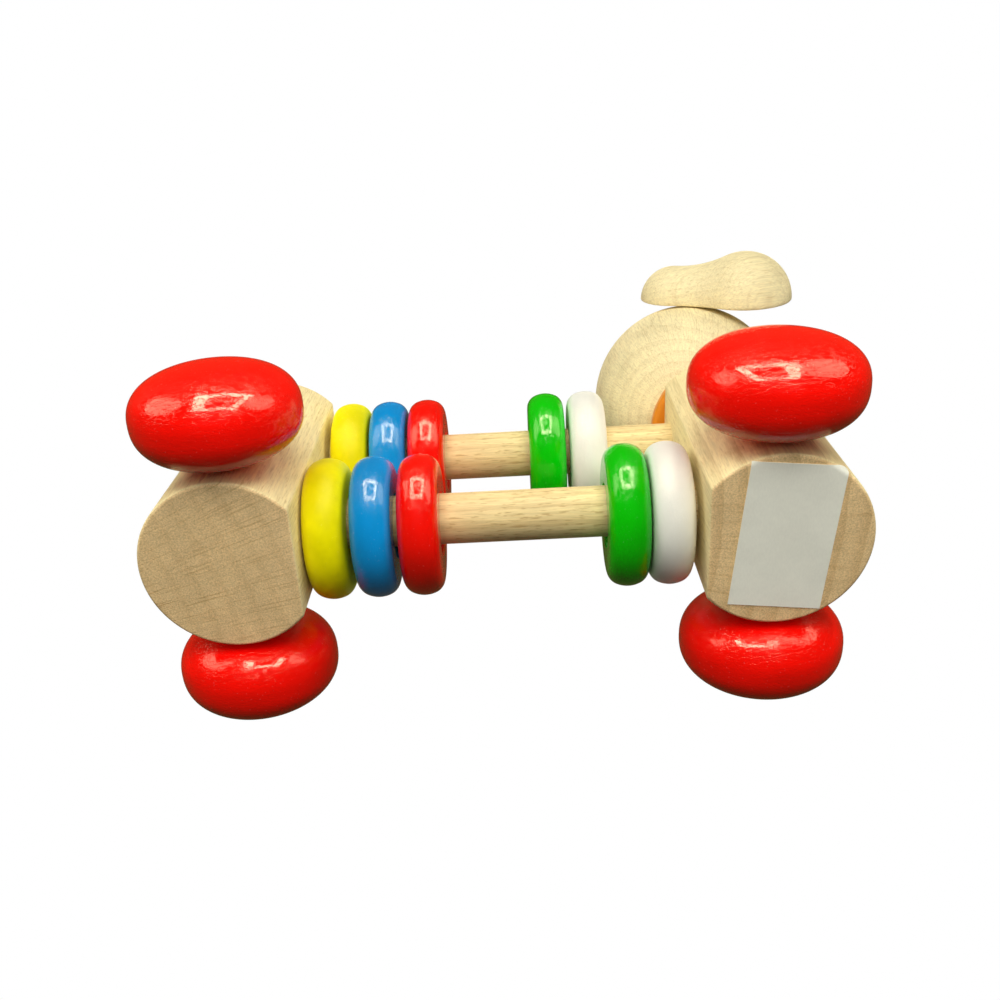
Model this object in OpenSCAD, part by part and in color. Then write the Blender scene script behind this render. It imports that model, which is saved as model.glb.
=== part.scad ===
// Wooden dog on four wheels: two turned logs joined by two rods, with ring beads that slide along the rods.
// The dog stands on its wheels, +X is forwards, +Z is up, and the origin is under the middle of its outline.

/* [Wheels] */
// Distance between the two axles
wheelbase = 121; // [110:1:150]
// Diameter of a wheel
wheel_d = 38; // [34:0.5:44]
// Width of a wheel along its axle
wheel_w = 21.6; // [18:0.2:26]
// Fullness of the wheel's profile, where 2 is an ellipse and more is squarer
wheel_fullness = 2.45; // [2:0.05:3.5]
// Side gap between a wheel and its log
wheel_gap = 0.5; // [0.3:0.1:2]
// Diameter of an axle dowel
axle_d = 8; // [6:0.5:10]
// Depth of an axle dowel in its wheel
axle_seat = 15; // [10:0.5:17]

/* [Logs] */
// Diameter of a log
block_d = 40.5; // [38:0.5:46]
// Height of a log
block_h = 71; // [68:0.5:84]
// Height of the axle's centre line above a log's underside
axle_up = 12.6; // [9:0.1:14]
// Distance from a log's centre line to the flat that faces the beads
flat_offset = 15.3; // [14:0.1:18]
// Radius on the end edges of a log
block_edge = 0.8; // [0.5:0.1:3]

/* [Rods] */
// Diameter of a rod
rod_d = 12; // [10:0.5:13]
// Height of the lower rod's centre line above the logs' undersides
rod_low = 20.5; // [18:0.1:24]
// Distance of the upper rod's centre line below the logs' tops
rod_high = 11; // [9:0.1:14]
// Wood left between a rod's hole and the holes on the log's centre line
rod_wall = 1.8; // [1:0.1:4]

/* [Beads] */
// Outer diameter of a ring bead
bead_d = 33.5; // [30:0.5:35]
// Width of a ring bead along its rod
bead_w = 9.4; // [8:0.1:10.5]
// Radius of the slight crown on a bead's rim
bead_crown = 6.5; // [5.5:0.5:14]
// Radius that joins the rim to a bead's flat sides
bead_edge = 3.4; // [2:0.1:3.8]
// Radial play of a bead on its rod
bead_play = 1.5; // [0.8:0.1:2]
// Gap left between a bead's hole and its rod where the bead hangs nearest, on the left
bead_clear = 0.3; // [0.2:0.05:0.5]
// Chamfer at the mouths of a bead's hole
bead_mouth = 0.6; // [0.3:0.1:1.2]
// Distance from the rear log to the lower rod's yellow bead
lower_rear_rest = 0.4; // [0.3:0.1:3]
// Gap between the three rear beads of the lower rod
lower_rear_gap = 1.4; // [0.3:0.1:2]
// Gap between the two front beads of the lower rod
lower_front_gap = 0.4; // [0.3:0.1:2]
// Distance from the lower rod's white bead to the front log
lower_front_rest = 1.5; // [0.3:0.1:3]
// Distance from the rear log to the upper rod's yellow bead
upper_rear_rest = 1.5; // [0.3:0.1:3]
// Gap between the three rear beads of the upper rod
upper_rear_gap = 0.6; // [0.3:0.1:2]
// Gap between the two front beads of the upper rod
upper_front_gap = 1.1; // [0.3:0.1:3]
// Distance from the upper rod's white bead to the front log
upper_front_rest = 17.5; // [12:0.1:19]

/* [Head] */
// Diameter of the ball that is the head
head_d = 53.6; // [48:0.2:60]
// Depth of the flat on the ball's underside
head_flat = 3.6; // [2:0.1:5]
// Distance of the ball's centre behind the front log's centre line
head_back = 5; // [0:0.1:6]
// Diameter of the collar disc
collar_d = 37; // [32:0.2:40]
// Thickness of the collar disc
collar_h = 4.2; // [3:0.1:10]
// Radius on the collar's edges
collar_edge = 1.4; // [0.5:0.1:2]
// Diameter of the neck dowel
neck_d = 8; // [6:0.5:9]
// Depth of the neck dowel in the log and in the head
neck_seat = 15; // [10:0.5:18]

/* [Ears] */
// Diameter of an ear's large end
ear_large_d = 27; // [24:0.2:30]
// Diameter of an ear's small end
ear_small_d = 18.8; // [16:0.2:22]
// Distance between the centres of an ear's two ends
ear_span = 20.2; // [18:0.2:26]
// Radius of the hollow between an ear's two ends
ear_waist_r = 30; // [20:1:60]
// Slope of an ear, its large end lower and to the front
ear_tilt = 16.5; // [0:0.5:40]
// Distance of an ear's middle in front of the head's centre
ear_forward = 6.7; // [3:0.1:9]
// Height of an ear's middle above the head's centre
ear_up = 7.9; // [5:0.1:10]
// Gap between an ear's flat face and the ball
ear_gap = 0.3; // [0.1:0.1:0.8]
// Diameter of the pin that holds an ear
ear_pin_d = 5; // [3:0.5:6]
// Depth of the pin in its ear
ear_pin_seat = 4.5; // [3:0.5:6]
// Depth of the pin in the ball
head_pin_seat = 9; // [6:0.5:12]
// Distance of the pin in front of the head's centre
ear_pin_forward = 1.5; // [0:0.5:4]
// Height of the pin above the head's centre
ear_pin_up = 5.4; // [4:0.1:7]

/* [Label] */
// Short side of the blank paper label
label_w = 20.4; // [14:0.2:24]
// Long side of the blank paper label
label_l = 34; // [24:0.5:36]
// Thickness of the label
label_t = 0.2; // [0.1:0.05:0.4]
// Turn of the label about the log's centre line
label_turn = 6; // [0:0.5:15]
// Distance of the label's middle in front of the log's centre line
label_forward = 1.2; // [0:0.1:4]
// Distance of the label's middle to the right of the log's centre line
label_side = 1.1; // [0:0.1:3]

/* [Fits] */
// Radial play of an axle in its log
axle_play = 0.1; // [0.05:0.01:0.2]
// Radial gap of a glued dowel in its hole
glue_gap = 0.05; // [0.02:0.01:0.1]
// Gap at the bottom of a blind hole
end_gap = 0.3; // [0.2:0.1:1]

/* [Hidden] */
$fn = 96;

// Colours of the finishes
beech = "#e6cf9b";
wheel_red = "#e01808";
collar_orange = "#ee8f1c";
paper = "#f2f0ea";
bead_colours = ["yellow", "blue", "red", "green", "white"];

// Angle between the points of a rounded outline
arc_step = 6;
// A little more than a cut has to pass through
over = 1;

// Radii and heights that follow from the sizes above
wheel_r = wheel_d / 2;
block_r = block_d / 2;
head_r = head_d / 2;
bead_r = bead_d / 2;
axle_z = wheel_r;
block_clear = axle_z - axle_up;
block_top = block_clear + block_h;
lower_z = block_clear + rod_low;
upper_z = block_top - rod_high;
rod_seat = flat_offset - max(axle_d / 2 + axle_play, neck_d / 2 + glue_gap) - rod_wall - end_gap;
collar_top = block_top + collar_h;
head_z = collar_top + head_r - head_flat;
wheel_in = block_r + wheel_gap;

// The whole outline along X is centred on the origin
ear_large_x = ear_forward + cos(ear_tilt) * ear_span / 2;
end_reach = max(wheel_r, block_r);
head_reach = max(head_r, ear_large_x + ear_large_d / 2) - head_back;
rear_x = (end_reach - wheelbase - max(end_reach, head_reach)) / 2;
front_x = rear_x + wheelbase;
head_x = front_x - head_back;
rear_flat = rear_x + flat_offset;
front_flat = front_x - flat_offset;

// Rear edge of each bead in its resting place, in the order of the bead colours
rear_beads = 3;
front_beads = 2;
function bead_row(rear_rest, rear_gap, front_gap, front_rest) = [
    for (i = [0:rear_beads - 1]) rear_flat + rear_rest + i * (bead_w + rear_gap),
    for (i = [front_beads:-1:1]) front_flat - front_rest - i * bead_w - (i - 1) * front_gap];
lower_row = bead_row(lower_rear_rest, lower_rear_gap, lower_front_gap, lower_front_rest);
upper_row = bead_row(upper_rear_rest, upper_rear_gap, upper_front_gap, upper_front_rest);

// Points along an arc about [cx, cy]
function arc(cx, cy, r, from, to) =
    let (n = ceil(abs(to - from) / arc_step))
    [for (i = [0:n]) let (a = from + (to - from) * i / n) [cx + r * cos(a), cy + r * sin(a)]];

// A disc or log about Z, with rounded end edges
module rounded_log(r, h, edge) {
    rotate_extrude()
        polygon(concat([[0, 0]], arc(r - edge, edge, edge, -90, 0), arc(r - edge, h - edge, edge, 0, 90), [[0, h]]));
}

// A round peg along X from x
module peg_x(x, z, d, length) {
    translate([x, 0, z]) rotate([0, 90, 0]) cylinder(d = d, h = length);
}

// A round peg along Y, centred on y = 0 at [x, z]
module peg_y(x, z, d, length) {
    translate([x, 0, z]) rotate([90, 0, 0]) cylinder(d = d, h = length, center = true);
}

// Holes for both rods, drilled in from the flat at x towards side
module rod_holes(x, side) {
    depth = rod_seat + end_gap;
    for (z = [lower_z, upper_z])
        peg_x(side > 0 ? x - over : x - depth, z, rod_d + 2 * glue_gap, depth + over);
}

// A log with its flat turned to side, the axle's hole and the rods' holes
module log_body(x, side) {
    flat_x = x - side * flat_offset;
    difference() {
        translate([x, 0, block_clear]) rounded_log(block_r, block_h, block_edge);
        translate([flat_x - side * block_r, 0, block_clear + block_h / 2])
            cube([2 * block_r, block_d + 2 * over, block_h + 2 * over], center = true);
        peg_y(x, axle_z, axle_d + 2 * axle_play, block_d + 2 * over);
        rod_holes(flat_x, side);
    }
}

module rear_block() {
    color(beech) log_body(rear_x, -1);
}

module front_block() {
    depth = neck_seat + end_gap;
    color(beech) difference() {
        log_body(front_x, 1);
        translate([front_x, 0, block_top - depth]) cylinder(d = neck_d + 2 * glue_gap, h = depth + over);
    }
}

module rod(z) {
    color(beech) peg_x(rear_flat - rod_seat, z, rod_d, front_flat - rear_flat + 2 * rod_seat);
}

// A ring bead with flat sides and a crowned rim, its rear face at x, hanging to the left on its rod
module bead(x, z, colour) {
    hole_r = rod_d / 2 + bead_play;
    half = bead_w / 2;
    lean = asin((half - bead_edge) / (bead_crown - bead_edge));
    crown_x = bead_r - bead_crown;
    edge_x = crown_x + (bead_crown - bead_edge) * cos(lean);
    color(colour) translate([x + half, bead_play - bead_clear, z]) rotate([0, 90, 0]) rotate_extrude()
        polygon(concat([[hole_r, half - bead_mouth], [hole_r, bead_mouth - half], [hole_r + bead_mouth, -half]],
            arc(edge_x, bead_edge - half, bead_edge, -90, -lean), arc(crown_x, 0, bead_crown, -lean, lean),
            arc(edge_x, half - bead_edge, bead_edge, lean, 90), [[hole_r + bead_mouth, half]]));
}

module axle(x) {
    color(beech) peg_y(x, axle_z, axle_d, 2 * (wheel_in + axle_seat));
}

// A fat wheel on the side given, with a blind hole for the axle
module wheel(x, side) {
    half = wheel_w / 2;
    power = 2 / wheel_fullness;
    outline = [for (a = [-90:arc_step:90])
        [wheel_r * pow(max(cos(a), 0), power), half * sign(a) * pow(abs(sin(a)), power)]];
    depth = axle_seat + end_gap;
    color(wheel_red) difference() {
        translate([x, side * (wheel_in + half), axle_z]) rotate([90, 0, 0]) rotate_extrude() polygon(outline);
        translate([x, side * (wheel_in + depth / 2 - over / 2), axle_z]) rotate([90, 0, 0])
            cylinder(d = axle_d + 2 * glue_gap, h = depth + over, center = true);
    }
}

module neck_dowel() {
    color(beech) translate([front_x, 0, block_top - neck_seat])
        cylinder(d = neck_d, h = collar_h + 2 * neck_seat);
}

module collar() {
    color(collar_orange) difference() {
        translate([front_x, 0, block_top]) rounded_log(collar_d / 2, collar_h, collar_edge);
        translate([front_x, 0, block_top - over]) cylinder(d = neck_d + 2 * glue_gap, h = collar_h + 2 * over);
    }
}

// Centre line of an ear's pin
pin_x = head_x + ear_pin_forward;
pin_z = head_z + ear_pin_up;
ear_face = head_r + ear_gap;

module head() {
    depth = neck_seat + end_gap;
    pin_depth = head_pin_seat + end_gap;
    color(beech) difference() {
        translate([head_x, 0, head_z]) sphere(d = head_d);
        translate([head_x, 0, collar_top - head_flat]) cube([head_d, head_d, 2 * head_flat], center = true);
        translate([front_x, 0, collar_top - over]) cylinder(d = neck_d + 2 * glue_gap, h = depth + over);
        for (side = [-1, 1])
            translate([pin_x, side * (head_r - pin_depth / 2 + over / 2), pin_z]) rotate([90, 0, 0])
                cylinder(d = ear_pin_d + 2 * glue_gap, h = pin_depth + over, center = true);
    }
}

// Half outline of an ear about its long axis: the large end at 0, the hollow, the small end at ear_span
function ear_outline() =
    let (large = ear_large_d / 2, small = ear_small_d / 2,
        to_large = large + ear_waist_r, to_small = small + ear_waist_r,
        x = (ear_span * ear_span + to_large * to_large - to_small * to_small) / (2 * ear_span),
        y = sqrt(to_large * to_large - x * x))
    concat(arc(0, 0, large, 180, atan2(y, x)),
        arc(x, y, ear_waist_r, atan2(-y, -x), atan2(-y, ear_span - x)),
        arc(ear_span, 0, small, atan2(y, x - ear_span), 0));

// An ear: half of a turned pear, its flat face towards the head
module ear(side) {
    depth = ear_pin_seat + end_gap;
    reach = ear_large_d + ear_small_d + ear_span;
    color(beech) difference() {
        translate([head_x + ear_forward, side * ear_face, head_z + ear_up]) rotate([0, ear_tilt, 0])
            translate([ear_span / 2, 0, 0]) rotate([0, -90, 0])
            rotate_extrude() polygon([for (p = ear_outline()) [p[1], p[0]]]);
        translate([head_x, side * (ear_face - reach / 2), head_z]) cube([2 * reach, reach, 2 * reach], center = true);
        translate([pin_x, side * (ear_face + depth / 2 - over / 2), pin_z]) rotate([90, 0, 0])
            cylinder(d = ear_pin_d + 2 * glue_gap, h = depth + over, center = true);
    }
}

module ear_pin(side) {
    length = head_pin_seat + ear_gap + ear_pin_seat;
    color(beech) translate([pin_x, side * (ear_face + ear_pin_seat - length / 2), pin_z]) rotate([90, 0, 0])
        cylinder(d = ear_pin_d, h = length, center = true);
}

// The blank paper label, cut to the flat part of the front log's underside
module label() {
    color(paper) intersection() {
        translate([front_x + label_forward, -label_side, block_clear - label_t / 2]) rotate([0, 0, label_turn])
            cube([label_w, label_l, label_t], center = true);
        translate([front_x, 0, block_clear - label_t - over])
            cylinder(r = block_r - block_edge, h = label_t + 2 * over);
    }
}

rear_block();
front_block();
rod(lower_z);  // lower_rod
rod(upper_z);  // upper_rod
neck_dowel();
collar();
head();
ear(1);  // ear_left
ear(-1);  // ear_right
ear_pin(1);  // ear_pin_left
ear_pin(-1);  // ear_pin_right
label();
axle(rear_x);  // rear_axle
wheel(rear_x, 1);  // rear_wheel_left
wheel(rear_x, -1);  // rear_wheel_right
axle(front_x);  // front_axle
wheel(front_x, 1);  // front_wheel_left
wheel(front_x, -1);  // front_wheel_right
for (i = [0:len(bead_colours) - 1]) {
    bead(lower_row[i], lower_z, bead_colours[i]);
    bead(upper_row[i], upper_z, bead_colours[i]);
}
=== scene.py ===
"""Wooden abacus push toy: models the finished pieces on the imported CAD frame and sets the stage."""

import math

import bpy
from bpy.props import FloatProperty, FloatVectorProperty, PointerProperty
from bpy.types import NodeSocket, Operator, Panel, PropertyGroup
from mathutils import Matrix, Vector


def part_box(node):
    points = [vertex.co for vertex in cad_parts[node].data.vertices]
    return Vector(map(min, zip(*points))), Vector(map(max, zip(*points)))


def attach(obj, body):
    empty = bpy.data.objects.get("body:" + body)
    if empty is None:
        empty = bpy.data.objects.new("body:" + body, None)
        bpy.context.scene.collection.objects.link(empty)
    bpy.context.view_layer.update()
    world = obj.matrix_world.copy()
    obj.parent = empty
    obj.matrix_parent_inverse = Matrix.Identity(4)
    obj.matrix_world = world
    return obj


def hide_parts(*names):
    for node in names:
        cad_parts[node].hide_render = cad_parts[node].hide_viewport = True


bl_info = {
    "name": "Abacus push toy",
    "version": (1, 0, 0),
    "blender": (4, 5, 0),
    "location": "3D View > Sidebar > Toy",
    "description": "Models the wooden push toy's pieces, finishes and stage on the CAD frame",
    "category": "Object",
}

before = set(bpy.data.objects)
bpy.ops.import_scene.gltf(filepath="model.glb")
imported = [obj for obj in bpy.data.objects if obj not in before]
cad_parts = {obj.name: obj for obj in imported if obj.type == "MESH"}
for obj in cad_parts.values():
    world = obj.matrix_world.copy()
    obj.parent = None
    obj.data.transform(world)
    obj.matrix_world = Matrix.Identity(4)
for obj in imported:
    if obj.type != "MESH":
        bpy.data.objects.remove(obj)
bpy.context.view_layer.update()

MM = 0.001
COLOURS = ("yellow", "blue", "red", "green", "white")
ROWS = ("lower", "upper")
X, Y, Z = Vector((1, 0, 0)), Vector((0, 1, 0)), Vector((0, 0, 1))
# A right angle in radians
SQUARE = math.pi / 2

# Points closer than this are merged
WELD = 0.000002
# How far outside the wood a drill starts
RUN_IN = MM
# Room between a dowel's end and the bottom of its hole
HOLE_ROOM = 0.3 * MM
DRILL_SIDES = 64


def screen(red, green, blue):
    """A colour picked on a screen, as the linear colour that shaders use."""

    def linear(level):
        level /= 255
        return level / 12.92 if level <= 0.04045 else ((level + 0.055) / 1.055) ** 2.4

    return tuple(linear(level) for level in (red, green, blue))


def length(name, description, millimetres):
    """A property that holds a length."""
    return FloatProperty(name=name, description=description, default=millimetres * MM, unit="LENGTH")


def angle(name, description, degrees):
    """A property that holds an angle."""
    return FloatProperty(name=name, description=description, default=math.radians(degrees), subtype="ANGLE")


def colour(name, description, red, green, blue):
    """A property that holds a colour, given as it is picked on a screen."""
    return FloatVectorProperty(name=name, description=description, default=screen(red, green, blue),
                               subtype="COLOR", size=3, min=0, max=1)


def watts(name, description, power):
    """A property that holds a lamp's power."""
    return FloatProperty(name=name, description=description, default=power, min=0, unit="POWER")


def glow(name, description, level):
    """A property that holds a level of light, where 1 is white."""
    return FloatProperty(name=name, description=description, default=level, min=0)


class ToySizes(PropertyGroup):
    """Sizes that the CAD boxes don't give"""

    end_round: length("Log end rounding", "Rounding of the logs' end edges", 0.8)
    arris_round: length("Log arris rounding", "Radius of the upright edges beside a log's flat", 1.2)
    drill_gap: length("Drill gap", "Room round a glued dowel in its hole", 0.05)
    axle_gap: length("Axle gap", "Room round a turning axle in its log", 0.1)
    rod_round: length("Rod end rounding", "Rounding of the rods' ends", 0.8)
    wheel_fullness: FloatProperty(name="Wheel fullness", default=2.45, min=2, max=4,
                                  description="Squareness of the wheels' cross-section")
    wheel_land: length("Wheel land", "Least width of the flat round a wheel's axle hole", 0.4)
    bead_play: length("Bead play", "Room round the rod in a bead's hole", 1.5)
    bead_crown: length("Bead crown", "Radius of the slight crown on a bead's rim", 6.5)
    bead_edge: length("Bead edge", "Radius that joins a bead's rim to its flat sides", 3.4)
    bead_mouth: length("Bead mouth", "Rounding at the mouth of a bead's hole", 0.6)
    collar_round: length("Collar rounding", "Rounding of the neck ring's rim", 1.4)
    foot_bevel: length("Foot bevel", "Width of the bevel round the ball's flat foot", 0.6)
    ear_large: length("Ear large radius", "Radius of an ear's large end", 13.5)
    ear_small: length("Ear small radius", "Radius of an ear's small end", 9.4)
    ear_span: length("Ear span", "Distance between the middles of an ear's two ends", 20.2)
    ear_waist: length("Ear waist radius", "Radius of the hollow between an ear's two ends", 30)
    ear_tilt: angle("Ear tilt", "Slope of an ear down towards its large end", 16.5)
    ear_forward: length("Ear forward", "Distance of an ear's middle in front of the head's middle", 6.7)
    ear_up: length("Ear up", "Height of an ear's middle over the head's middle", 7.9)
    ear_grit: length("Ear grit", "Mesh size that an ear is sanded at, which rounds its flat side's rim", 0.35)
    label_width: length("Label width", "Short side of the paper label", 20.4)
    label_length: length("Label length", "Long side of the paper label", 34)
    label_turn: angle("Label turn", "Turn of the label on the log's end", 6)
    label_forward: length("Label forward", "Place of the label's middle in front of the log's middle", 1.2)
    label_side: length("Label side", "Place of the label's middle to the right of the log's middle", 1.1)
    label_thick: length("Label thickness", "Thickness of the paper", 0.2)
    eye_radius: length("Eye radius", "Radius of a painted eye", 2.6)
    eye_turn: angle("Eye turn", "Turn of an eye away from the nose to its side", 22)
    eye_rise: angle("Eye rise", "Rise of the eyes over the head's middle", 20)
    nose_radius: length("Nose radius", "Radius of the painted nose", 4)
    nose_drop: angle("Nose drop", "Drop of the nose under the head's middle", 6)


class ToyColours(PropertyGroup):
    """Colours of the woods, paints and paper"""

    beech: colour("Beech", "Pale ground of the sanded beech", 242, 217, 154)
    beech_log: colour("Log beech", "Ground of the two logs' sides", 250, 231, 170)
    beech_pale: colour("Pale beech", "Paler ground of the head and the ears", 242, 226, 173)
    beech_late: colour("Late wood", "Stain that darkens growth lines, rays and flecks", 186, 158, 118)
    end_grain: colour("End grain", "Sawn and sanded ends of the logs", 249, 215, 155)
    wheel_red: colour("Wheel red", "Lacquer of the wheels", 253, 8, 3)
    bead_yellow: colour("Bead yellow", "Lacquer of the yellow beads", 250, 238, 3)
    bead_blue: colour("Bead blue", "Lacquer of the blue beads", 2, 144, 210)
    bead_red: colour("Bead red", "Lacquer of the red beads", 248, 12, 5)
    bead_green: colour("Bead green", "Lacquer of the green beads", 2, 193, 6)
    bead_white: colour("Bead white", "Lacquer of the white beads", 236, 234, 217)
    ring_orange: colour("Ring orange", "Lacquer of the neck ring", 232, 140, 30)
    paper: colour("Paper", "Blank paper of the label", 248, 247, 227)
    face_black: colour("Face black", "Paint of the eyes and the nose", 22, 19, 18)


class ToyStage(PropertyGroup):
    """Camera and lamps"""

    camera_place: FloatVectorProperty(name="Camera place", description="Where the camera stands", size=3,
                                      subtype="TRANSLATION", unit="LENGTH",
                                      default=(0.002951, -0.104695, -0.201623))
    camera_turn: FloatVectorProperty(name="Camera turn", description="How the camera is turned", size=3,
                                     subtype="EULER", unit="ROTATION",
                                     default=tuple(math.radians(a) for a in (152.7686, -1.5101, 3.7622)))
    lens: FloatProperty(name="Lens", description="Focal length on a 36 mm wide sensor, in millimetres",
                        default=38.351)
    shift: FloatVectorProperty(name="Shift", description="Lens shift right and up", size=2,
                               default=(0.03216, 0.06397))
    side_power: watts("Side lamps", "Power of each of the two soft boxes, which only gloss shows", 0.8)
    flank_power: watts("Flank lamps", "Power of each of the two lamps that light the toy's ends", 1.1)
    frame_power: watts("Frame lamp", "Power of the square frame overhead, which only gloss shows", 5.0)
    key_power: watts("Key lamp", "Power of the lamp high over the camera", 2.5)
    fill_power: watts("Fill lamp", "Power of the wide lamp behind the camera", 1.75)
    top_power: watts("Top lamp", "Power of the wide lamp over the standing toy", 3.2)
    back_power: watts("Back lamp", "Power of the wide lamp high behind the standing toy", 2.0)
    ambient: glow("Ambient", "Level of the light from all round", 0.03)
    booth: glow("Booth", "Level of the dim room that the lacquer mirrors", 0.1)


def clear_selection():
    """Leave edit mode and deselect everything."""
    if bpy.context.mode != "OBJECT":
        bpy.ops.object.mode_set(mode="OBJECT")
    bpy.ops.object.select_all(action="DESELECT")


def only(piece):
    """Select one object and make it the active one."""
    clear_selection()
    piece.select_set(True)
    bpy.context.view_layer.objects.active = piece


def settle(piece, name):
    """Name an object and put its place, turn and scale into its mesh."""
    only(piece)
    piece.name = name
    piece.data.name = name
    bpy.ops.object.transform_apply(location=True, rotation=True, scale=True)
    return piece


def work(piece, kind, **settings):
    """Add a modifier to a piece and apply it."""
    only(piece)
    modifier = piece.modifiers.new(kind.lower(), kind)
    for key, value in settings.items():
        setattr(modifier, key, value)
    bpy.ops.object.modifier_apply(modifier=modifier.name)


def draw_line(points):
    """Draw a line from point to point, left open for editing and selected all over."""
    clear_selection()
    bpy.context.tool_settings.mesh_select_mode = (True, False, False)
    bpy.ops.mesh.primitive_plane_add(size=MM, location=points[0])
    bpy.ops.object.mode_set(mode="EDIT")
    bpy.ops.mesh.merge(type="CENTER")
    for here, there in zip(points, points[1:]):
        bpy.ops.mesh.extrude_region_move(TRANSFORM_OT_translate={"value": there - here})
    bpy.ops.mesh.select_all(action="SELECT")
    return bpy.context.object


def weld():
    """Merge doubled points of the mesh in hand and turn its faces outwards."""
    bpy.ops.mesh.select_all(action="SELECT")
    bpy.ops.mesh.remove_doubles(threshold=WELD)
    bpy.ops.mesh.normals_make_consistent(inside=False)


def lathe(name, outline, centre, axis, steps):
    """Draw an outline of (radius, height) points and spin it round the axis."""
    across = axis.orthogonal().normalized()
    piece = draw_line([centre + across * radius + axis * height for radius, height in outline])
    bpy.ops.mesh.spin(steps=steps, angle=math.tau, center=centre, axis=axis)
    weld()
    return settle(piece, name)


def close_end(piece):
    """Close the open round end of a spun piece with one flat face."""
    only(piece)
    bpy.ops.object.mode_set(mode="EDIT")
    bpy.ops.mesh.select_all(action="DESELECT")
    bpy.ops.mesh.select_non_manifold()
    bpy.ops.mesh.edge_face_add()
    weld()
    bpy.ops.object.mode_set(mode="OBJECT")


def pull_up(name, outline, base, height):
    """Draw a closed outline of (x, y) points at a height, fill it and extrude it upwards."""
    piece = draw_line([Vector((x, y, base)) for x, y in (*outline, outline[0])])
    bpy.ops.mesh.remove_doubles(threshold=WELD)
    bpy.ops.mesh.edge_face_add()
    bpy.ops.mesh.extrude_region_move(TRANSFORM_OT_translate={"value": (0, 0, height)})
    weld()
    return settle(piece, name)


def arc(centre, radius, start, end, steps):
    """Points on an arc from one angle to another, with both ends."""
    turns = [start + (end - start) * i / steps for i in range(steps + 1)]
    return [(centre[0] + radius * math.cos(t), centre[1] + radius * math.sin(t)) for t in turns]


def bevel_edges(piece, wanted, offset, segments):
    """Round the edges whose two ends pass a test."""
    only(piece)
    mesh = piece.data
    for part in (mesh.polygons, mesh.edges, mesh.vertices):
        part.foreach_set("select", [False] * len(part))
    for edge in mesh.edges:
        edge.select = wanted(*(mesh.vertices[i].co for i in edge.vertices))
    if not any(edge.select for edge in mesh.edges):
        raise RuntimeError(f"{piece.name} has no edge to round")
    bpy.context.tool_settings.mesh_select_mode = (False, True, False)
    bpy.ops.object.mode_set(mode="EDIT")
    bpy.ops.mesh.bevel(offset=offset, segments=segments, profile=0.5, affect="EDGES", clamp_overlap=False)
    bpy.ops.object.mode_set(mode="OBJECT")


def drill(piece, start, end, radius):
    """Cut a round hole from one point to another."""
    along = end - start
    clear_selection()
    bpy.ops.mesh.primitive_cylinder_add(vertices=DRILL_SIDES, radius=radius, depth=along.length,
                                        location=(start + end) / 2,
                                        rotation=along.to_track_quat("Z", "Y").to_euler())
    bit = bpy.context.object
    before = len(piece.data.polygons)
    work(piece, "BOOLEAN", operation="DIFFERENCE", solver="EXACT", object=bit)
    if len(piece.data.polygons) == before:
        raise RuntimeError(f"the drill missed {piece.name}")
    only(bit)
    bpy.ops.object.delete()


def cut_away(piece, point, outwards):
    """Saw off what lies beyond a plane and close the cut."""
    only(piece)
    bpy.ops.object.mode_set(mode="EDIT")
    bpy.ops.mesh.select_all(action="SELECT")
    bpy.ops.mesh.bisect(plane_co=point, plane_no=outwards, use_fill=True, clear_outer=True)
    bpy.ops.object.mode_set(mode="OBJECT")


def smooth(piece, degrees=35):
    """Shade a piece smoothly up to an angle between faces, with its wide faces kept even."""
    only(piece)
    bpy.ops.object.shade_smooth_by_angle(angle=math.radians(degrees))
    work(piece, "WEIGHTED_NORMAL", keep_sharp=True)


def twin(piece, name, place):
    """Copy a finished piece, with a mesh of its own, moved by a matrix."""
    only(piece)
    bpy.ops.object.duplicate(linked=False)
    copy = bpy.context.object
    copy.matrix_world = place
    bpy.context.view_layer.update()
    return settle(copy, name)


def fit(piece, finish, body, slot, *nodes):
    """Give a piece its finish, hang it on its body and hide the CAD parts that it stands for."""
    piece.data.materials.clear()
    piece.data.materials.append(finish)
    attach(piece, body)
    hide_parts(*nodes)


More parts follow.
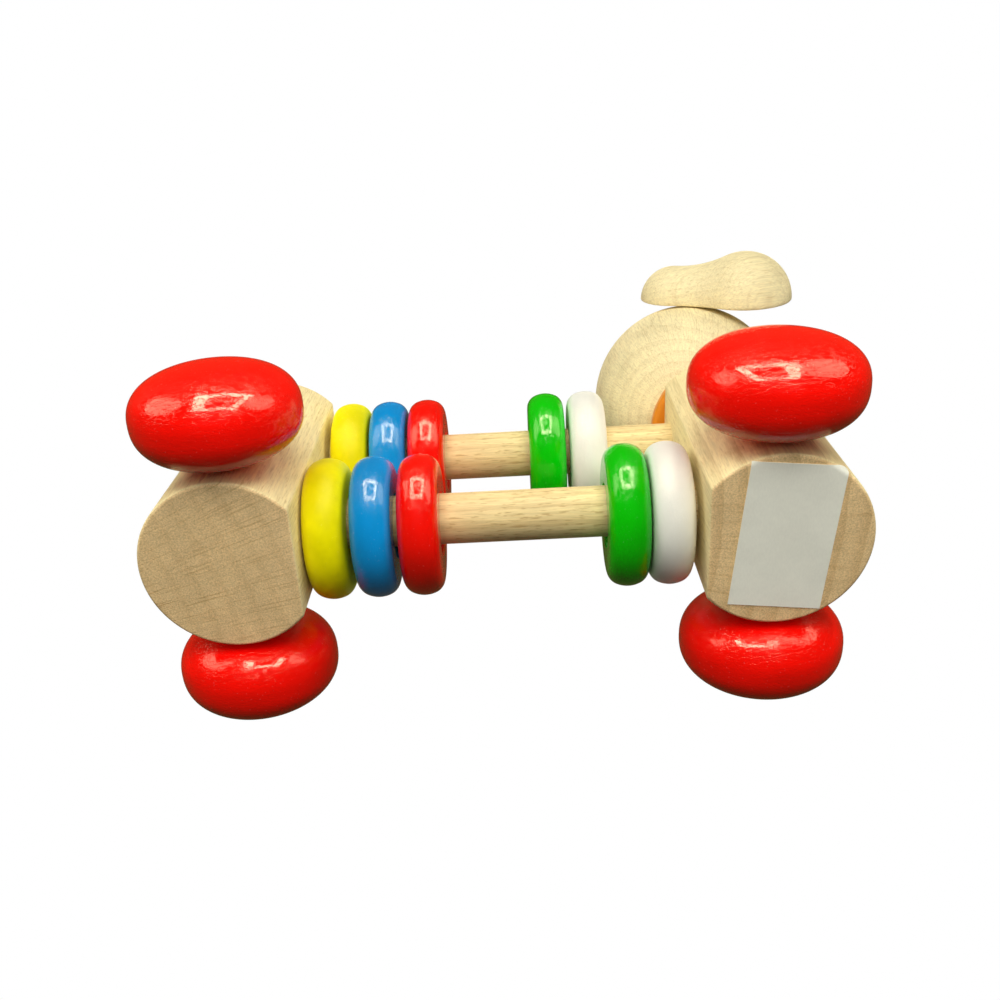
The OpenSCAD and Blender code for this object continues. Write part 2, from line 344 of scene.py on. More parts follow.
class Finish:
    """A material in the making: nodes are added by kind, and a value that is a socket is linked."""

    def __init__(self, name):
        self.material = bpy.data.materials.new(name)
        self.material.use_nodes = True
        self.tree = self.material.node_tree
        self.shader = self.tree.nodes["Principled BSDF"]
        self.place = self.add("TexCoord", pick="Object")

    def add(self, kind, inputs=(), pick=0, **settings):
        """Add a node, fill its inputs and hand back one of its outputs."""
        made = self.tree.nodes.new("ShaderNode" + kind)
        for key, value in settings.items():
            setattr(made, key, value)
        for key, value in inputs.items() if isinstance(inputs, dict) else enumerate(inputs):
            self.put(made.inputs[key], value)
        return made.outputs[pick]

    def put(self, socket, value):
        """Link a socket to an input, or set a plain value on it."""
        if isinstance(value, NodeSocket):
            self.tree.links.new(value, socket)
        elif value is not None:
            socket.default_value = (*value, 1) if socket.type == "RGBA" and len(value) == 3 else value

    def math(self, operation, *values):
        return self.add("Math", values, operation=operation)

    def times(self, first, second):
        return self.math("MULTIPLY", first, second)

    def mix(self, amount, first, second, blend="MIX"):
        """Mix two colours."""
        inputs = {0: amount, 6: first, 7: second}
        return self.add("Mix", inputs, pick=2, data_type="RGBA", blend_type=blend)

    def step(self, value, low, high, start=0.0, end=1.0):
        """Ease from start to end while a value goes from low to high."""
        return self.add("MapRange", (value, low, high, start, end), interpolation_type="SMOOTHSTEP")

    def spread(self, noise, start=0.0, end=1.0):
        """Ease from start to end over the range that a noise mostly keeps to."""
        return self.step(noise, 0.3, 0.7, start, end)

    def stretch(self, vector, scale, turn=(0, 0, 0), shift=(0, 0, 0)):
        return self.add("Mapping", (vector, shift, turn, scale))

    def noise(self, vector, cells, detail=2.0, rough=0.5):
        """Noise with this many cells to the metre."""
        return self.add("TexNoise", {"Vector": vector, "Scale": cells, "Detail": detail, "Roughness": rough})

    def bump(self, height, distance, strength=1.0, normal=None):
        inputs = {"Height": height, "Distance": distance, "Strength": strength, "Normal": normal}
        return self.add("Bump", inputs)

    def close(self, **sockets):
        """Fill the shader's sockets and hand back the material."""
        for key, value in sockets.items():
            self.put(self.shader.inputs[key.replace("_", " ")], value)
        return self.material

    def surface(self, shader):
        """Put another shader in the place of the usual one and hand back the material."""
        self.tree.links.new(shader, self.tree.nodes["Material Output"].inputs["Surface"])
        return self.material


def beech(name, colours, turn=(0, 0, 0), pith=(0, 0, 0), ring=3.2 * MM, ring_depth=0.3, ray_depth=0.3,
          fleck_depth=0.6, ground=None, ends=None, marks=()):
    """Sanded beech with its grain along Z after the turn, growth rings and rays round the pith, and flecks.

    Sawn ends may have a colour of their own and coarser pores, and marks are round dabs of paint.
    """
    least_bow, wobble_width = 18 * MM, 3 * MM
    pore_relief, sawn_relief, sawn_contrast = 0.05 * MM, 0.05 * MM, 0.8
    dab_border, dab_roughness = 0.25 * MM, 0.22
    wood = Finish(name)
    grain = wood.stretch(wood.place, (1, 1, 1), turn, pith)
    across, aside, along = (wood.add("SeparateXYZ", (grain,), pick=axis) for axis in "XYZ")
    reach_squared = wood.math("ADD", wood.math("POWER", across, 2.0), wood.math("POWER", aside, 2.0))
    reach = wood.math("SQRT", reach_squared)
    bow = max(Vector(pith).xy.length, least_bow)
    round_pith = wood.times(wood.math("ARCTAN2", aside, across), bow)
    wobble = wood.times(wood.noise(wood.stretch(grain, (1, 1, 0.25)), cells=40, detail=3), wobble_width)
    phase = wood.math("FRACT", wood.math("DIVIDE", wood.math("ADD", reach, wobble), ring))
    late = wood.times(wood.step(phase, 0.35, 0.93), wood.step(phase, 0.95, 1.0, 1.0, 0.0))
    fan = wood.stretch(wood.add("CombineXYZ", (round_pith, reach, along)), (1, 0.035, 0.1))
    ray = wood.step(wood.noise(fan, cells=1800, detail=3, rough=0.65), 0.50, 0.72)
    vessel = wood.noise(wood.stretch(grain, (1, 1, 0.05)), cells=2600, detail=3, rough=0.7)
    fleck = wood.step(wood.noise(wood.stretch(grain, (1, 1, 0.14)), cells=1900, rough=0.6), 0.55, 0.70)
    cloud = wood.noise(wood.stretch(grain, (1, 1, 0.3)), cells=110, detail=3, rough=0.6)
    ground = ground or colours.beech
    pores = wood.spread(vessel, 0.86, 1.06)
    relief = pore_relief
    if ends:
        normal = wood.add("TexCoord", pick="Normal")
        facing = wood.math("ABSOLUTE", wood.add("SeparateXYZ", (normal,), pick="Z"))
        sawn = wood.step(facing, 0.5, 0.9)
        ground = wood.mix(sawn, ground, ends)
        pores = wood.math("POWER", pores, wood.math("MULTIPLY_ADD", sawn, sawn_contrast, 1.0))
        relief = wood.math("MULTIPLY_ADD", sawn, sawn_relief, pore_relief)
    dark = wood.mix(1.0, ground, colours.beech_late, "MULTIPLY")
    tone = ground
    for figure, depth in ((late, ring_depth), (ray, ray_depth), (fleck, fleck_depth)):
        tone = wood.mix(wood.times(figure, depth), tone, dark)
    shade = wood.times(pores, wood.spread(cloud, 0.93, 1.04))
    tone = wood.mix(1.0, tone, shade, "MULTIPLY")
    rough = wood.spread(vessel, 0.66, 0.52)
    for centre, radius in marks:
        away = wood.add("VectorMath", (wood.place, centre), pick="Value", operation="DISTANCE")
        dab = wood.step(away, radius, radius - dab_border)
        tone = wood.mix(dab, tone, colours.face_black)
        rough = wood.add("Mix", {0: dab, 2: rough, 3: dab_roughness})
    height = wood.math("SUBTRACT", vessel, wood.times(wood.math("ADD", fleck, ray), 0.4))
    return wood.close(Base_Color=tone, Roughness=rough, Specular_IOR_Level=0.3,
                      Normal=wood.bump(height, relief, 0.6))


def lacquer(name, tint, grain, gloss=0.045, depth=0.12, specular=0.5, crease=0.015):
    """Dipped lacquer that follows the grain under it, with soft waves, fine creases and a few specks.

    Gloss is the least roughness, depth the share by which deep paint is darker, crease a height in mm.
    """
    wave_relief, skin_relief, streak_relief, speck_relief = 0.02 * MM, 0.03 * MM, 0.012 * MM, 0.02 * MM
    thin_share, streak_share, speck_share = 0.08, 0.35, 0.5
    fold_width, gloss_range = 0.05, 0.05
    paint = Finish(name)
    along = paint.stretch(paint.place, grain)
    pool = paint.noise(paint.place, cells=90, detail=3, rough=0.6)
    streak = paint.noise(along, cells=900, detail=3, rough=0.6)
    wave = paint.noise(paint.place, cells=260)
    skin = paint.noise(along, cells=1000, detail=3, rough=0.6)
    folds = paint.step(paint.math("ABSOLUTE", paint.math("SUBTRACT", skin, 0.5)), 0.0, fold_width)
    speck = paint.step(paint.noise(paint.place, cells=1700, detail=1), 0.70, 0.76)
    thin = tuple(level + (1 - level) * thin_share for level in tint)
    deep = tuple(level * (1 - depth) for level in tint)
    tone = paint.mix(paint.spread(pool), deep, tint)
    tone = paint.mix(paint.times(paint.step(streak, 0.55, 0.75), streak_share), tone, deep)
    tone = paint.mix(paint.times(speck, speck_share), tone, thin)
    wear = paint.math("ADD", pool, paint.times(streak, 0.4))
    rough = paint.step(wear, 0.4, 0.9, gloss, gloss + gloss_range)
    relief = paint.bump(wave, wave_relief)
    relief = paint.bump(skin, skin_relief, 1.0, relief)
    relief = paint.bump(folds, crease * MM, 1.0, relief)
    relief = paint.bump(streak, streak_relief, 1.0, relief)
    relief = paint.bump(speck, speck_relief, 0.6, relief)
    return paint.close(Base_Color=tone, Roughness=rough, Specular_IOR_Level=specular, Normal=relief)


def paper(name, tint):
    """Smooth label paper with a faint fibre and soft clouds."""
    fibre_relief, cloud_share = 0.02 * MM, 0.95
    sheet = Finish(name)
    fibre = sheet.noise(sheet.stretch(sheet.place, (1, 0.4, 1)), cells=2400, detail=3, rough=0.6)
    cloud = sheet.noise(sheet.place, cells=120)
    tone = sheet.mix(sheet.spread(cloud), tuple(level * cloud_share for level in tint), tint)
    tone = sheet.mix(1.0, tone, sheet.spread(fibre, 0.97, 1.01), "MULTIPLY")
    return sheet.close(Base_Color=tone, Roughness=sheet.spread(fibre, 0.5, 0.6), Specular_IOR_Level=0.35,
                       Normal=sheet.bump(fibre, fibre_relief, 0.5))


def log_places(node):
    """A log's box, radius, axis and flat: the rear log's flat looks forward, the front one's back."""
    low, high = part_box(node)
    radius = (high.y - low.y) / 2
    rear = node.startswith("rear")
    axis = low.x + radius if rear else high.x - radius
    return low, high, radius, axis, high.x if rear else low.x, X if rear else -X


class TOY_OT_logs(Operator):
    """Turn the two upright logs, saw their flats, round their edges and drill them"""

    bl_idname = "toy.logs"
    bl_label = "Logs"

    # Name, node, direction from the pith in degrees, depth of the growth rings and depth of the rays
    LOGS = (("rear_log", "rear_block", 107, 0.1, 0.5),
            ("front_log", "front_block", 86, 0.24, 0.25))
    PITH_AWAY = 110 * MM
    RING = 5.2 * MM
    FLECK_DEPTH = 0.2

    def execute(self, context):
        sizes, colours = context.scene.toy_sizes, context.scene.toy_colours
        for name, node, from_pith, ring_depth, ray_depth in self.LOGS:
            low, high, radius, axis, flat, outwards = log_places(node)
            outline = self.outline(radius, axis, flat, sizes.arris_round)
            log = pull_up(name, outline, low.z, high.z - low.z)
            bevel_edges(log, lambda a, b: abs(a.z - b.z) < WELD, sizes.end_round, segments=8)
            for rod in ("lower_rod", "upper_rod"):
                near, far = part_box(rod)
                middle = (near.z + far.z) / 2
                deep = near.x if outwards.x > 0 else far.x
                drill(log, Vector((flat, 0, middle)) + outwards * RUN_IN,
                      Vector((deep, 0, middle)) - outwards * HOLE_ROOM,
                      (far.z - near.z) / 2 + sizes.drill_gap)
            near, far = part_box(node.replace("block", "axle"))
            middle = (near.z + far.z) / 2
            drill(log, Vector((axis, low.y - RUN_IN, middle)), Vector((axis, high.y + RUN_IN, middle)),
                  (far.z - near.z) / 2 + sizes.axle_gap)
            if node == "front_block":
                near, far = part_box("neck_dowel")
                drill(log, Vector((axis, 0, near.z - HOLE_ROOM)), Vector((axis, 0, high.z + RUN_IN)),
                      (far.y - near.y) / 2 + sizes.drill_gap)
            smooth(log)
            way = math.radians(from_pith)
            pith = Vector((-axis, 0, 0)) + Vector((math.sin(way), math.cos(way), 0)) * self.PITH_AWAY
            finish = beech("beech_" + name, colours, pith=pith, ring=self.RING, ring_depth=ring_depth,
                           ray_depth=ray_depth, fleck_depth=self.FLECK_DEPTH, ground=colours.beech_log,
                           ends=colours.end_grain)
            fit(log, finish, "toy_body", "beech", node)
        return {"FINISHED"}

    @staticmethod
    def outline(radius, axis, flat, soft):
        """A circle with one flat, whose two corners are rounded."""
        facing = math.copysign(1, flat - axis)
        inset = abs(flat - axis) - soft
        corner = math.sqrt((radius - soft) ** 2 - inset ** 2)
        lean = math.atan2(corner, inset)
        points = arc((0, 0), radius, lean, math.tau - lean, steps=150)
        points += arc((inset, -corner), soft, -lean, 0, steps=8)[1:]
        points += arc((inset, corner), soft, 0, lean, steps=8)[:-1]
        return [(axis + facing * x, facing * y) for x, y in points]


class TOY_OT_rods(Operator):
    """Cut the two bead rods from dowel and round their ends"""

    bl_idname = "toy.rods"
    bl_label = "Rods"

    # Distances of the pith above a rod's middle and to its right
    PITH_UP, PITH_RIGHT = 14 * MM, 9 * MM
    RING = 2.6 * MM

    def execute(self, context):
        sizes, colours = context.scene.toy_sizes, context.scene.toy_colours
        for name, node in (("low_dowel", "lower_rod"), ("high_dowel", "upper_rod")):
            low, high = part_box(node)
            middle = (low + high) / 2
            clear_selection()
            bpy.ops.mesh.primitive_cylinder_add(vertices=96, radius=(high.z - low.z) / 2,
                                                depth=high.x - low.x, location=middle,
                                                rotation=(0, SQUARE, 0))
            rod = settle(bpy.context.object, name)
            bevel_edges(rod, lambda a, b: abs(a.x - b.x) < WELD, sizes.rod_round, segments=4)
            smooth(rod)
            pith = Vector((middle.z + self.PITH_UP, self.PITH_RIGHT, 0))
            finish = beech("beech_" + name, colours, turn=(0, -SQUARE, 0), pith=pith, ring=self.RING,
                           ring_depth=0.25, fleck_depth=0.55)
            fit(rod, finish, "toy_body", "beech", node)
        return {"FINISHED"}


class TOY_OT_wheels(Operator):
    """Turn one full-bodied wheel with its blind axle hole and set four of them"""

    bl_idname = "toy.wheels"
    bl_label = "Wheels"

    def execute(self, context):
        sizes, colours = context.scene.toy_sizes, context.scene.toy_colours
        red = lacquer("wheel_red_lacquer", colours.wheel_red, (0.3, 1, 1), depth=0.07, crease=0.02)
        first, home = None, None
        for end in ("rear", "front"):
            axle_low, axle_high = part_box(f"{end}_axle")
            for side in ("right", "left"):
                node = f"{end}_wheel_{side}"
                low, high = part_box(node)
                middle = (low + high) / 2
                if first is None:
                    home = middle
                    hole = (axle_high.z - axle_low.z) / 2 + sizes.drill_gap
                    bottom = axle_low.y - HOLE_ROOM - middle.y
                    outline = self.outline(sizes, (high - low) / 2, hole, bottom)
                    wheel = first = lathe("red_wheel_rear_right", outline, middle, Y, steps=128)
                    smooth(wheel, degrees=50)
                else:
                    turn = Matrix.Rotation(math.pi if side == "left" else 0, 4, "Z")
                    place = Matrix.Translation(middle) @ turn @ Matrix.Translation(-home)
                    wheel = twin(first, f"red_wheel_{end}_{side}", place)
                fit(wheel, red, f"{end}_wheels", "wheel_red", node)
        return {"FINISHED"}

    @staticmethod
    def outline(sizes, half, hole, bottom, steps=56):
        """A squarish oval from the wheel's outer pole round to its axle hole, and down into the hole."""
        power = 2 / sizes.wheel_fullness
        points = [(0, -half.y)]
        for i in range(1, steps):
            turn = math.pi * (i / steps - 0.5)
            points.append((half.z * math.cos(turn) ** power,
                           half.y * math.copysign(abs(math.sin(turn)) ** power, turn)))
        points = [point for point in points if point[1] < 0 or point[0] > hole + sizes.wheel_land]
        inner = points[-1][1]
        return points + [(hole, inner), (hole, bottom), (0, bottom)]


class TOY_OT_beads(Operator):
    """Turn one ring bead with a crowned rim and thread ten of them on the rods"""

    bl_idname = "toy.beads"
    bl_label = "Beads"

    # Duller colours: least roughness, depth of the paint and specular level
    SATIN = {"yellow": (0.36, 0.2, 0.12), "white": (0.32, 0.05, 0.35)}

    def execute(self, context):
        sizes, colours = context.scene.toy_sizes, context.scene.toy_colours
        first, home = None, None
        for tint in COLOURS:
            shade = getattr(colours, "bead_" + tint)
            paint = lacquer(f"bead_{tint}_lacquer", shade, (1, 0.25, 1), *self.SATIN.get(tint, ()))
            for row in ROWS:
                node = f"{row}_bead_{tint}"
                low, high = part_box(node)
                middle = (low + high) / 2
                if first is None:
                    home = middle
                    rod_low, rod_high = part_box(f"{row}_rod")
                    hole = (rod_high.z - rod_low.z) / 2 + sizes.bead_play
                    outline = self.outline(sizes, (high - low) / 2, hole)
                    bead = first = lathe(f"{row}_ring_{tint}", outline, middle, X, steps=112)
                    smooth(bead, degrees=60)
                else:
                    bead = twin(first, f"{row}_ring_{tint}", Matrix.Translation(middle - home))
                fit(bead, paint, f"{row}_{tint}", "bead_" + tint, node)
        return {"FINISHED"}

    @staticmethod
    def outline(sizes, half, hole):
        """A bead's closed cross-section: a crowned rim, soft edges, flat sides and a rounded hole."""
        width, radius = half.x, half.z
        crown, edge, mouth = sizes.bead_crown, sizes.bead_edge, sizes.bead_mouth
        lean = math.asin((width - edge) / (crown - edge))
        rim = radius - crown + (crown - edge) * math.cos(lean)
        points = arc((rim, edge - width), edge, -SQUARE, -lean, steps=10)
        points += arc((radius - crown, 0), crown, -lean, lean, steps=12)[1:]
        points += arc((rim, width - edge), edge, lean, SQUARE, steps=10)[1:]
        points += arc((hole + mouth, width - mouth), mouth, SQUARE, 2 * SQUARE, steps=5)
        points += arc((hole + mouth, mouth - width), mouth, 2 * SQUARE, 3 * SQUARE, steps=5)
        return points + points[:1]


class TOY_OT_neck(Operator):
    """Turn the orange neck ring under the head"""

    bl_idname = "toy.neck"
    bl_label = "Neck ring"

    def execute(self, context):
        sizes, colours = context.scene.toy_sizes, context.scene.toy_colours
        low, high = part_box("collar")
        dowel_low, dowel_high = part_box("neck_dowel")
        radius, rim = (high.y - low.y) / 2, sizes.collar_round
        hole = (dowel_high.y - dowel_low.y) / 2 + sizes.drill_gap
        half = (high.z - low.z) / 2
        outline = [(hole, -half)] + arc((radius - rim, rim - half), rim, -SQUARE, 0, steps=6)
        outline += arc((radius - rim, half - rim), rim, 0, SQUARE, steps=6) + [(hole, half), (hole, -half)]
        ring = lathe("neck_ring", outline, (low + high) / 2, Z, steps=112)
        smooth(ring)
        finish = lacquer("ring_orange_lacquer", colours.ring_orange, (0.12, 1, 1), gloss=0.26)
        fit(ring, finish, "toy_body", "paint_orange", "collar")
        return {"FINISHED"}


class TOY_OT_head(Operator):
    """Turn the ball head with its foot and dowel hole, drill it for the ears and paint its face"""

    bl_idname = "toy.head"
    bl_label = "Head"

    # Angle in radians from the foot to where the ball is full round, over the foot's bevel
    BEVEL_RISE = 0.02
    # Distances of the pith behind the ball's middle and to its right
    PITH_BACK, PITH_RIGHT = 4 * MM, 2 * MM
    RING = 2.4 * MM

    def execute(self, context):
        sizes, colours = context.scene.toy_sizes, context.scene.toy_colours
        low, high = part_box("head")
        radius = (high.y - low.y) / 2
        middle = Vector(((low.x + high.x) / 2, 0, high.z - radius))
        foot = math.asin((low.z - middle.z) / radius)
        outline = [(radius * math.cos(foot) - sizes.foot_bevel, low.z - middle.z)]
        outline += arc((0, 0), radius, foot + self.BEVEL_RISE, SQUARE, steps=60)[:-1] + [(0, radius)]
        ball = lathe("ball_head", outline, middle, Z, steps=144)
        close_end(ball)
        dowel_low, dowel_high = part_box("neck_dowel")
        neck = (dowel_low.x + dowel_high.x) / 2
        drill(ball, Vector((neck, 0, low.z - RUN_IN)), Vector((neck, 0, dowel_high.z + HOLE_ROOM)),
              (dowel_high.y - dowel_low.y) / 2 + sizes.drill_gap)
        for side in ("left", "right"):
            pin_low, pin_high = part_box(f"ear_pin_{side}")
            pin = (pin_low + pin_high) / 2
            outwards = Y if pin.y > 0 else -Y
            inner = min(abs(pin_low.y), abs(pin_high.y)) - HOLE_ROOM
            place = Vector((pin.x, 0, pin.z))
            drill(ball, place + outwards * inner, place + outwards * (radius + RUN_IN),
                  (pin_high.z - pin_low.z) / 2 + sizes.drill_gap)
        smooth(ball)

        def on_ball(turn, rise):
            """The point of the ball at a turn to the left and a rise, seen from its middle."""
            reach = math.cos(rise)
            return middle + radius * Vector((reach * math.cos(turn), reach * math.sin(turn), math.sin(rise)))

        eyes = (-sizes.eye_turn, sizes.eye_turn)
        marks = [(on_ball(turn, sizes.eye_rise), sizes.eye_radius) for turn in eyes]
        marks.append((on_ball(0, -sizes.nose_drop), sizes.nose_radius))
        pith = (-middle.x + self.PITH_BACK, self.PITH_RIGHT, 0)
        finish = beech("beech_ball", colours, pith=pith, ring=self.RING, ring_depth=0.12, ray_depth=0.35,
                       fleck_depth=0.25, ground=colours.beech_pale, marks=marks)
        fit(ball, finish, "toy_body", "beech", "head")
        return {"FINISHED"}


class TOY_OT_ears(Operator):
    """Turn the pear-shaped ears, saw them in half lengthways, round their flat sides and drill them"""

    bl_idname = "toy.ears"
    bl_label = "Ears"

    # Distances of the pith from the frame's origin, across the turned grain and away from the ear's side
    PITH_ACROSS, PITH_INWARDS = 60 * MM, 50 * MM
    RING = 1.8 * MM

    def execute(self, context):
        sizes, colours = context.scene.toy_sizes, context.scene.toy_colours
        outline = self.outline(sizes.ear_large, sizes.ear_small, sizes.ear_span, sizes.ear_waist)
        head_low, head_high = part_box("head")
        middle = (head_low.x + head_high.x) / 2
        height = head_high.z - (head_high.y - head_low.y) / 2
        slope = Vector((-math.cos(sizes.ear_tilt), 0, math.sin(sizes.ear_tilt)))
        start = Vector((middle + sizes.ear_forward, 0, height + sizes.ear_up)) - slope * sizes.ear_span / 2
        for side in ("left", "right"):
            node = f"ear_{side}"
            low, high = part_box(node)
            outwards = Y if low.y > 0 else -Y
            face = min(abs(low.y), abs(high.y))
            ear = lathe(f"ear_flap_{side}", outline, start + outwards * face, slope, steps=112)
            cut_away(ear, outwards * face, -outwards)
            self.sand(ear, sizes.ear_grit)
            pin_low, pin_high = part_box(f"ear_pin_{side}")
            pin = (pin_low + pin_high) / 2
            deep = max(abs(pin_low.y), abs(pin_high.y)) + HOLE_ROOM
            place = Vector((pin.x, 0, pin.z))
            drill(ear, place + outwards * (face - RUN_IN), place + outwards * deep,
                  (pin_high.z - pin_low.z) / 2 + sizes.drill_gap)
            smooth(ear)
            pith = (self.PITH_ACROSS, self.PITH_INWARDS * outwards.y, 0)
            finish = beech("beech_" + ear.name, colours, turn=(0, sizes.ear_tilt - SQUARE, 0), pith=pith,
                           ring=self.RING, ring_depth=0.08, ray_depth=0.2, fleck_depth=0.25,
                           ground=colours.beech_pale)
            fit(ear, finish, "toy_body", "beech", node)
        return {"FINISHED"}

    @staticmethod
    def outline(large, small, span, waist):
        """Half a pear from pole to pole: two round ends, joined by a hollow that touches both."""
        along = (span ** 2 + (large + waist) ** 2 - (small + waist) ** 2) / (2 * span)
        aside = math.sqrt((large + waist) ** 2 - along ** 2)
        lean, meet = math.atan2(along, aside), math.atan2(span - along, aside)
        points = arc((0, 0), large, -SQUARE, lean, steps=36)
        points += arc((aside, along), waist, math.pi + lean, math.pi - meet, steps=16)[1:-1]
        points += arc((0, span), small, -meet, SQUARE, steps=32)
        points[0], points[-1] = (0, -large), (0, span + small)
        return points

    @staticmethod
    def sand(ear, grit):
        """Remesh an ear evenly and smooth it, so that its sharp rim is rounded."""
        work(ear, "REMESH", mode="VOXEL", voxel_size=grit)
        work(ear, "SMOOTH", factor=0.5, iterations=6)


class TOY_OT_label(Operator):
    """Lay the blank paper label on the front log's underside and fold it over the rounded edge"""

    bl_idname = "toy.label"
    bl_label = "Label"

    def execute(self, context):
        sizes, colours = context.scene.toy_sizes, context.scene.toy_colours
        low, _, radius, axis = log_places("front_block")[:4]
        clear_selection()
        bpy.ops.mesh.primitive_grid_add(x_subdivisions=40, y_subdivisions=66, size=1,
                                        location=(axis + sizes.label_forward, -sizes.label_side, low.z),
                                        rotation=(math.pi, 0, sizes.label_turn))
        label = bpy.context.object
        label.scale = (sizes.label_width, sizes.label_length, 1)
        settle(label, "paper_label")
        bend = sizes.end_round
        edge = radius - bend
        for point in label.data.vertices:
            place = point.co - Vector((axis, 0, low.z))
            run = place.xy.length - edge
            if run <= 0:
                continue
            away = place.xy.normalized()
            turn = min(run / bend, SQUARE)
            rise = bend * (1 - math.cos(turn)) + max(run - bend * SQUARE, 0)
            reach = edge + bend * math.sin(turn)
            point.co = Vector((axis + away.x * reach, away.y * reach, low.z + rise))
        work(label, "SOLIDIFY", thickness=sizes.label_thick, offset=1)
        smooth(label, degrees=40)
        fit(label, paper("label_paper", colours.paper), "toy_body", "paper", "label")
        return {"FINISHED"}


class TOY_OT_dowels(Operator):
    """Give the hidden dowels and the axles their wood"""

    bl_idname = "toy.dowels"
    bl_label = "Dowels and axles"

    def execute(self, context):
        colours = context.scene.toy_colours
        upright = beech("beech_dowel_upright", colours, fleck_depth=0.7)
        across = beech("beech_dowel_across", colours, turn=(SQUARE, 0, 0), fleck_depth=0.7)
        for node in ("neck_dowel", "ear_pin_left", "ear_pin_right", "rear_axle", "front_axle"):
            dowel = bpy.data.objects[node]
            for slot in dowel.material_slots:
                slot.material = upright if node == "neck_dowel" else across
        return {"FINISHED"}


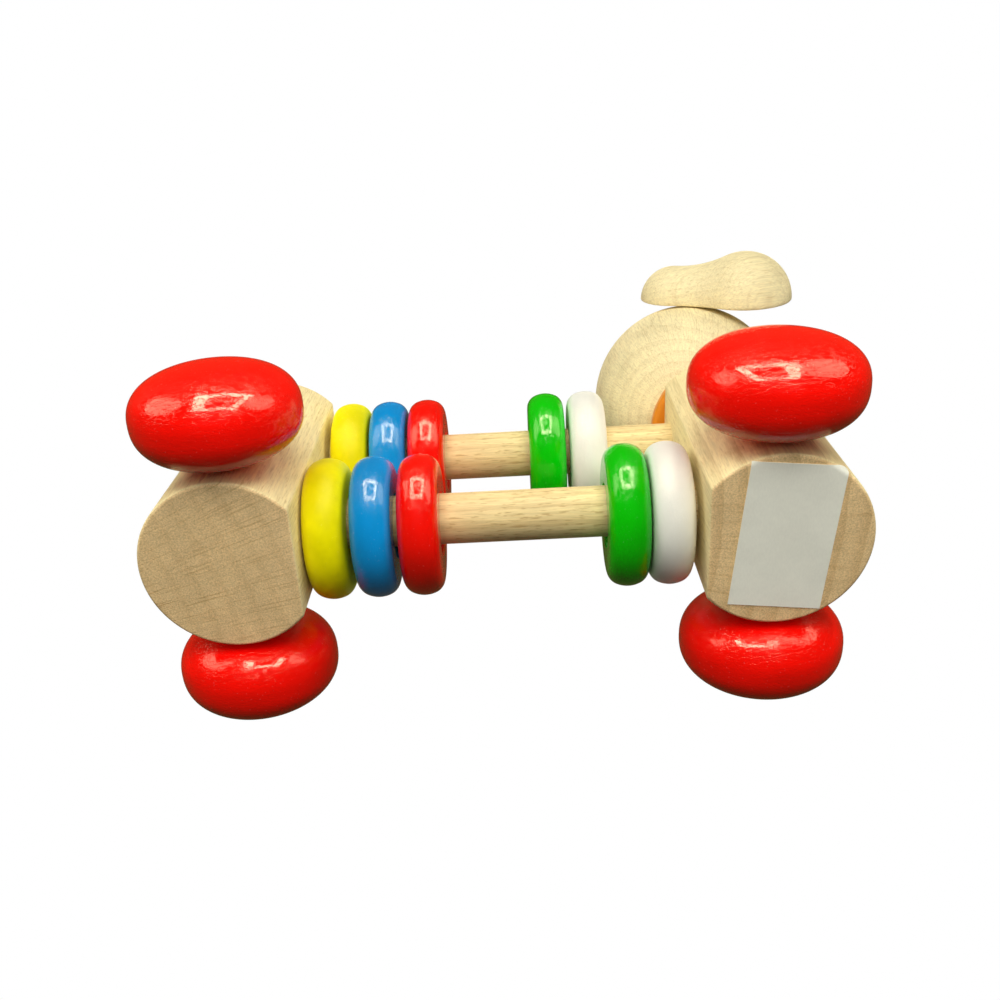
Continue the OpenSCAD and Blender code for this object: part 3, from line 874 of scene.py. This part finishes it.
class TOY_OT_stage(Operator):
    """Set the floor, the lamps, the background and the camera"""

    bl_idname = "toy.stage"
    bl_label = "Stage"

    # Width of the camera's sensor in millimetres, and the nearest distance that it sees
    SENSOR = 36
    NEAREST = 10 * MM
    # What most lamps look at
    AIM = Vector((0, 0, 40 * MM))
    # The two lamps at each end of the toy: side and place from the aim
    ENDS = (("left", Vector((-0.35, -0.325, 0.01))), ("right", Vector((0.29, -0.325, 0.01))))
    END_SIZE = (0.30, 0.27)
    # Lamps that no gloss shows: name, place and size
    LIGHTS = (("key", Vector((0, -0.54, -0.225)), (0.5, 0.32)),
              ("fill", Vector((0, -0.424, -0.384)), (0.5, 0.5)),
              ("top", Vector((0, -0.1, 0.62)), (0.7, 0.7)),
              ("back", Vector((0, 0.45, 0.5)), (0.6, 0.4)))
    # Colours of the lamps that light, of those that only gloss shows, and of the booth
    WHITE, WARM, AMBER = (1, 1, 1), (1, 0.88, 0.6), (1, 0.75, 0.3)
    BOOTH_SIZE, FLOOR_SIZE = 3, 4
    # Distances from the middle at which the floor begins to fade and is gone
    FADE_START, FADE_END = 0.25, 0.8
    FLOOR_GREY, FLOOR_GLOW = (0.5, 0.5, 0.5), 0.42

    def execute(self, context):
        stage = context.scene.toy_stage
        self.floor()
        for side, shift in self.ENDS:
            place = self.AIM + shift
            self.lamp("soft_box_" + side, place, self.AIM, self.END_SIZE, stage.side_power,
                      shape="ELLIPSE", lights=False)
            self.lamp("flank_light_" + side, place, self.AIM, self.END_SIZE, stage.flank_power,
                      shape="ELLIPSE", mirrored=False)
        self.square_frame(stage.frame_power)
        for name, place, size in self.LIGHTS:
            power = getattr(stage, name + "_power")
            self.lamp(name + "_light", place, self.AIM, size, power, mirrored=False)
        self.booth(stage.booth)
        self.background(context, stage.ambient)
        clear_selection()
        bpy.ops.object.camera_add(location=stage.camera_place, rotation=stage.camera_turn)
        camera = context.object
        camera.data.sensor_width = self.SENSOR
        camera.data.lens = stage.lens
        camera.data.shift_x, camera.data.shift_y = stage.shift
        camera.data.clip_start = self.NEAREST
        context.scene.camera = camera
        context.scene.view_settings.view_transform = "Standard"
        return {"FINISHED"}

    def lamp(self, name, place, aim, size, power, shape="RECTANGLE", lights=True, mirrored=True):
        """Hang a lamp that lights the toy, shows in its gloss, or does both."""
        clear_selection()
        bpy.ops.object.light_add(type="AREA", location=place,
                                 rotation=(aim - place).to_track_quat("-Z", "Y").to_euler())
        lamp = bpy.context.object
        lamp.name = name
        lamp.data.shape = shape
        lamp.data.size, lamp.data.size_y = size
        lamp.data.energy = power
        lamp.data.color = self.WHITE if lights else self.WARM
        lamp.visible_camera = False
        lamp.visible_diffuse = lights
        lamp.visible_glossy = mirrored

    def square_frame(self, power):
        """Hang four strips as a square frame, which share the power by their areas."""
        wide, tall = 0.38, 0.34
        side, bar = 0.08, 0.055
        place = Vector((0, -0.48, -0.01))
        between = wide - 2 * side
        area = 2 * (side * tall + bar * between)
        for name, shift, size in (("frame_left", Vector(((side - wide) / 2, 0, 0)), (side, tall)),
                                  ("frame_right", Vector(((wide - side) / 2, 0, 0)), (side, tall)),
                                  ("frame_high", Vector((0, 0, (tall - bar) / 2)), (between, bar)),
                                  ("frame_low", Vector((0, 0, (bar - tall) / 2)), (between, bar))):
            aim = shift + Vector((0, 0, place.z))
            self.lamp(name, place + shift, aim, size, power * size[0] * size[1] / area, lights=False)

    def booth(self, level):
        """The dim room round the set, which only shows as a mirror image in the lacquer."""
        clear_selection()
        bpy.ops.mesh.primitive_cube_add(size=self.BOOTH_SIZE)
        booth = bpy.context.object
        booth.name = "dim_booth"
        walls = Finish("dim_walls")
        dim = walls.add("Emission", {"Color": self.AMBER, "Strength": level})
        booth.data.materials.append(walls.surface(dim))
        for ray in ("camera", "diffuse", "transmission", "volume_scatter", "shadow"):
            setattr(booth, "visible_" + ray, False)

    def floor(self):
        """A pale floor that fades out, and that only a camera above it sees."""
        clear_selection()
        bpy.ops.mesh.primitive_plane_add(size=self.FLOOR_SIZE)
        floor = bpy.context.object
        floor.name = "floor"
        pale = Finish("pale_floor")
        path = pale.add("LightPath", pick="Is Camera Ray")
        under = pale.add("NewGeometry", pick="Backfacing")
        away = pale.add("VectorMath", (pale.place,), pick="Value", operation="LENGTH")
        seen = pale.times(path, pale.math("SUBTRACT", 1.0, under))
        seen = pale.times(seen, pale.step(away, self.FADE_START, self.FADE_END, 1.0, 0.0))
        matt = pale.add("BsdfDiffuse", {"Color": self.FLOOR_GREY})
        shine = pale.add("Emission", {"Strength": self.FLOOR_GLOW})
        top = pale.add("AddShader", (matt, shine))
        mixed = pale.add("MixShader", (seen, pale.add("BsdfTransparent"), top))
        floor.data.materials.append(pale.surface(mixed))

    @staticmethod
    def background(context, ambient):
        """A world that is white to the camera, to gloss and through glass, and lights the toy faintly."""
        world = bpy.data.worlds.new("white_studio")
        world.use_nodes = True
        context.scene.world = world
        nodes, links = world.node_tree.nodes, world.node_tree.links
        nodes.clear()
        path = nodes.new("ShaderNodeLightPath")
        seen = path.outputs["Is Camera Ray"]
        for ray in ("Is Glossy Ray", "Is Transmission Ray"):
            either = nodes.new("ShaderNodeMath")
            either.operation = "MAXIMUM"
            links.new(seen, either.inputs[0])
            links.new(path.outputs[ray], either.inputs[1])
            seen = either.outputs[0]
        mixed = nodes.new("ShaderNodeMixShader")
        links.new(seen, mixed.inputs[0])
        for socket, level in ((1, ambient), (2, 1.0)):
            light = nodes.new("ShaderNodeBackground")
            light.inputs["Color"].default_value = (1, 1, 1, 1)
            light.inputs["Strength"].default_value = level
            links.new(light.outputs[0], mixed.inputs[socket])
        out = nodes.new("ShaderNodeOutputWorld")
        links.new(mixed.outputs[0], out.inputs["Surface"])


MAKERS = (TOY_OT_logs, TOY_OT_rods, TOY_OT_wheels, TOY_OT_beads, TOY_OT_neck, TOY_OT_head, TOY_OT_ears,
          TOY_OT_label, TOY_OT_dowels, TOY_OT_stage)


class TOY_PT_pieces(Panel):
    """Lists the operators that make the toy, and its sizes, colours and stage"""

    bl_idname = "TOY_PT_pieces"
    bl_label = "Abacus push toy"
    bl_space_type = "VIEW_3D"
    bl_region_type = "UI"
    bl_category = "Toy"

    def draw(self, context):
        for maker in MAKERS:
            self.layout.operator(maker.bl_idname)
        for group in (context.scene.toy_sizes, context.scene.toy_colours, context.scene.toy_stage):
            box = self.layout.box()
            for key in group.__annotations__:
                box.prop(group, key)


GROUPS = {"toy_sizes": ToySizes, "toy_colours": ToyColours, "toy_stage": ToyStage}


def register():
    """Register the classes and hang the property groups on the scene."""
    for made in (*GROUPS.values(), *MAKERS, TOY_PT_pieces):
        bpy.utils.register_class(made)
    for key, group in GROUPS.items():
        setattr(bpy.types.Scene, key, PointerProperty(type=group))


def unregister():
    """Take back what register did."""
    for key in GROUPS:
        delattr(bpy.types.Scene, key)
    for made in (TOY_PT_pieces, *reversed(MAKERS), *GROUPS.values()):
        bpy.utils.unregister_class(made)


def main():
    """Make every piece in order."""
    register()
    for maker in MAKERS:
        group, call = maker.bl_idname.split(".")
        getattr(getattr(bpy.ops, group), call)()


if __name__ == "__main__":
    main()
